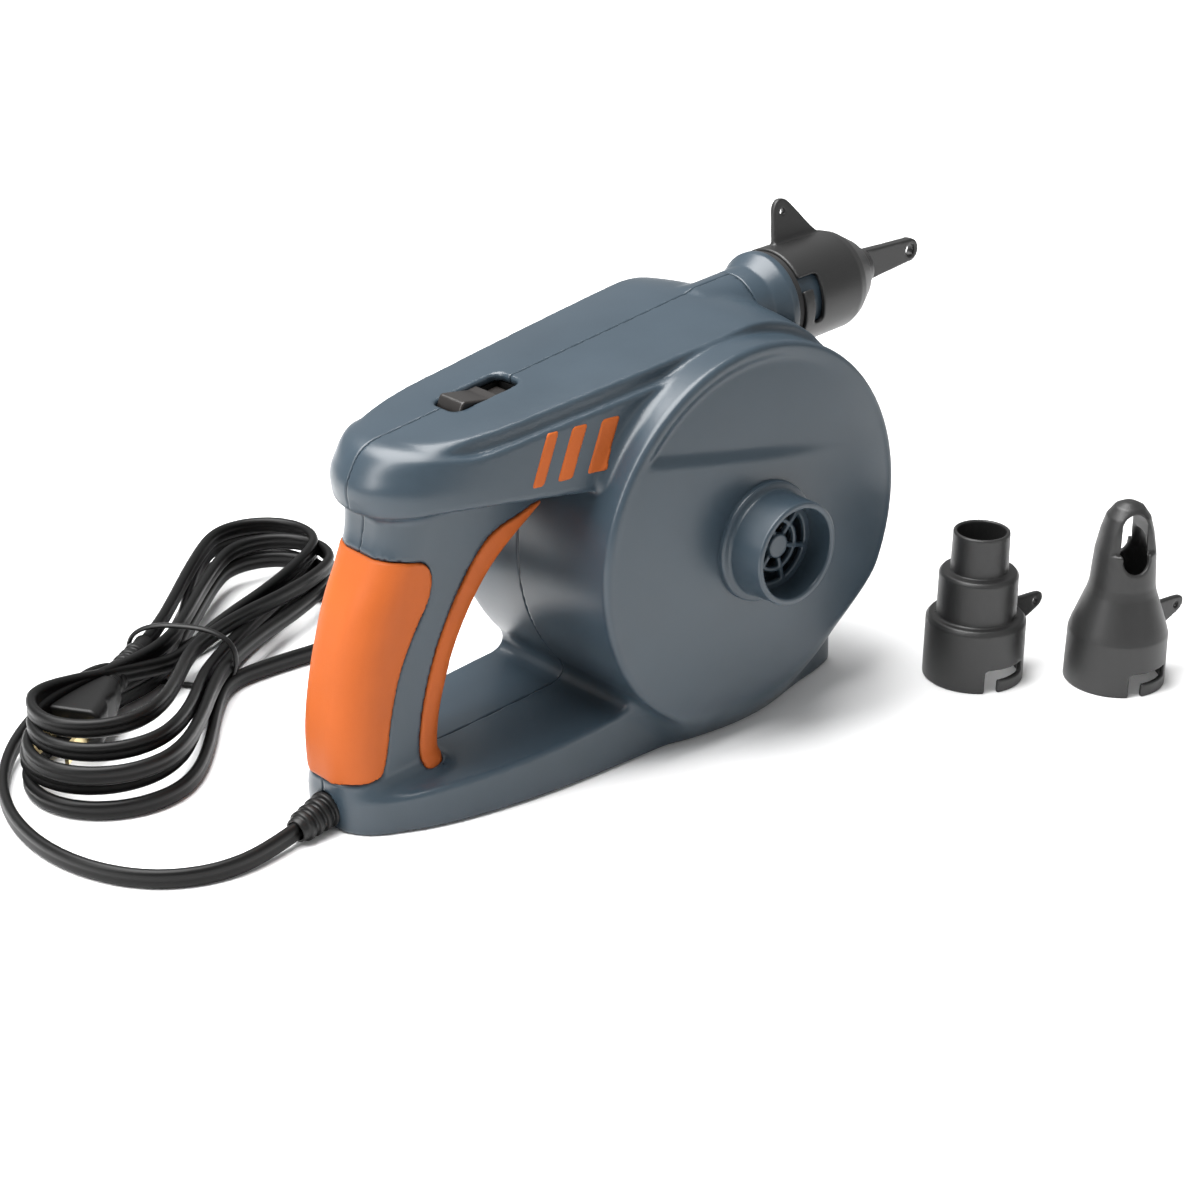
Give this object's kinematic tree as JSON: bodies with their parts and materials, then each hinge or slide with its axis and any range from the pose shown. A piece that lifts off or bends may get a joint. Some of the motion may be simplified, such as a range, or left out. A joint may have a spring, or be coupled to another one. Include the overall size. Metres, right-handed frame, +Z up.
{
  "type": "electric air mattress pump",
  "caption": "Mains electric pump for air mattresses: round blower housing with a D-shaped grip, top rocker switch, bayonet nozzles and a flat cord tied in a hank.",
  "frame": {"origin": "on the surface that the pump stands on, straight below the fan's axis, in the plane where the housing's halves meet", "axes": "+X from the grip to the air outlet, +Y towards the motor side, +Z up"},
  "size_m": [0.4024, 0.3519, 0.1737],
  "materials": {
    "housing": "satin moulded plastic, fine texture",
    "accent": "satin soft-touch plastic",
    "nozzle": "satin moulded plastic",
    "black_plastic": "satin",
    "cord": "soft sheen PVC",
    "rubber": "matte",
    "inner_plastic": "matte",
    "steel": "bright",
    "lamination": "rolled sheet",
    "copper": "enamelled wire",
    "bronze": "sintered",
    "brass": "plated",
    "carbon": "pressed carbon"
  },
  "bodies": {
    "housing": {"accent_bars": "accent", "brush_holders": "brass", "carbon_brushes": "carbon", "cord_clamp": "black_plastic", "cord_hank": "cord", "cord_tie": "cord", "field_coils": "copper", "front_bracket": "steel", "front_bush": "bronze", "housing_screws": "steel", "inlet_grille": "housing", "inner_grip_strip": "accent", "internal_leads": "cord", "motor_plate": "inner_plastic", "motor_screws": "steel", "outlet_duct": "inner_plastic", "outlet_seal": "rubber", "outlet_tube": "housing", "plate_screws": "steel", "plug_blades": "brass", "plug_body": "cord", "plug_sleeve": "cord", "power_cord": "cord", "rear_bracket": "steel", "rear_bush": "bronze", "rear_grip_pad": "accent", "scroll_wall": "inner_plastic", "shell_left": "housing", "shell_right": "housing", "stator_core": "lamination", "strain_relief": "rubber", "switch_body": "black_plastic", "switch_terminals": "brass"},
    "rotor": {"motor_shaft": "steel", "armature_core": "lamination", "armature_windings": "copper", "commutator": "copper", "cooling_fan": "inner_plastic", "fan_wheel": "inner_plastic", "fan_nut": "steel"},
    "rocker": {"rocker": "black_plastic"},
    "fitted_nozzle": {"needle_nozzle": "nozzle"},
    "spare_stepped": {"stepped_nozzle": "nozzle"},
    "spare_hooked": {"hooked_nozzle": "nozzle"}
  },
  "joints": [
    {"name": "fan_spin", "type": "hinge", "parent": "housing", "child": "rotor", "pos_m": [0, 0, 0.075], "axis": [0, 1, 0], "continuous": true},
    {"name": "switch_rock", "type": "hinge", "parent": "housing", "child": "rocker", "pos_m": [-0.08498, 0, 0.12955], "axis": [0, 1, 0], "range_deg": [-16, 0]},
    {"name": "nozzle_twist", "type": "hinge", "parent": "housing", "child": "fitted_nozzle", "pos_m": [0.04941, 0, 0.13924], "axis": [0.9982, 0, 0.0593], "range_deg": [-25.5, 8]},
    {"name": "stepped_nozzle_lift", "type": "slide", "parent": "housing", "child": "spare_stepped", "axis": [0, 0, 1], "range_m": [0, 0.08]},
    {"name": "hooked_nozzle_lift", "type": "slide", "parent": "housing", "child": "spare_hooked", "axis": [0, 0, 1], "range_m": [0, 0.08]}
  ]
}
